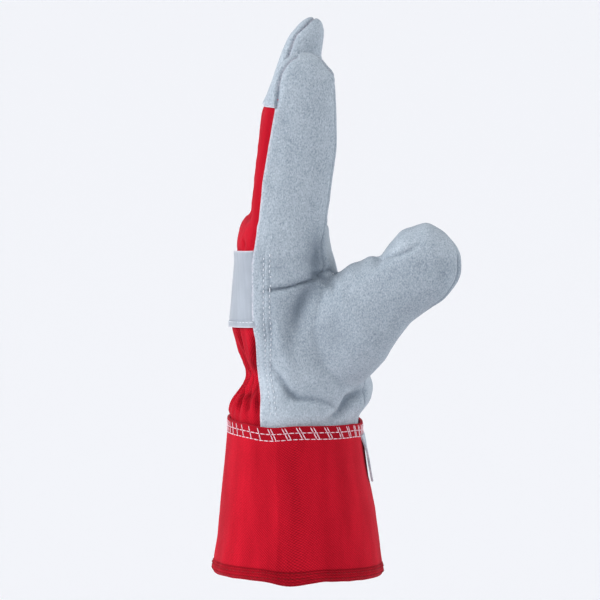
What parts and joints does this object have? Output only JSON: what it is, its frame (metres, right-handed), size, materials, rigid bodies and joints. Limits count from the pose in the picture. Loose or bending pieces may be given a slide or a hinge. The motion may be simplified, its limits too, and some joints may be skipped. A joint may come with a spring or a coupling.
{
  "type": "rigger work glove, left hand",
  "caption": "Left-hand work glove of grey split leather and red cotton drill with a flared safety cuff, knuckle strap and gathered wrist, held up as worn.",
  "frame": {"origin": "centre of the cuff's mouth, where the hand goes in", "axes": "+Z from the cuff's mouth to the fingertips, +X towards the palm, -Y towards the thumb's side of the hand, +Y towards the little finger"},
  "size_m": [0.1157, 0.1083, 0.2667],
  "materials": {
    "split_leather": "napped blue-grey split leather",
    "red_drill": "red cotton drill with a fine diagonal twill",
    "strap_grey": "smooth pale grey",
    "thread": "white sewing thread"
  },
  "bodies": {
    "root": {"palm_leather": "split_leather", "index_side_leather": "split_leather", "thumb_front_leather": "split_leather", "thumb_back_leather": "split_leather", "middle_front_leather": "split_leather", "ring_front_leather": "split_leather", "index_tip_cap": "split_leather", "middle_tip_cap": "split_leather", "ring_tip_cap": "split_leather", "little_tip_cap": "split_leather", "pulse_guard": "split_leather", "back_drill": "red_drill", "cuff_drill": "red_drill", "knuckle_strap": "strap_grey"}
  },
  "joints": []
}
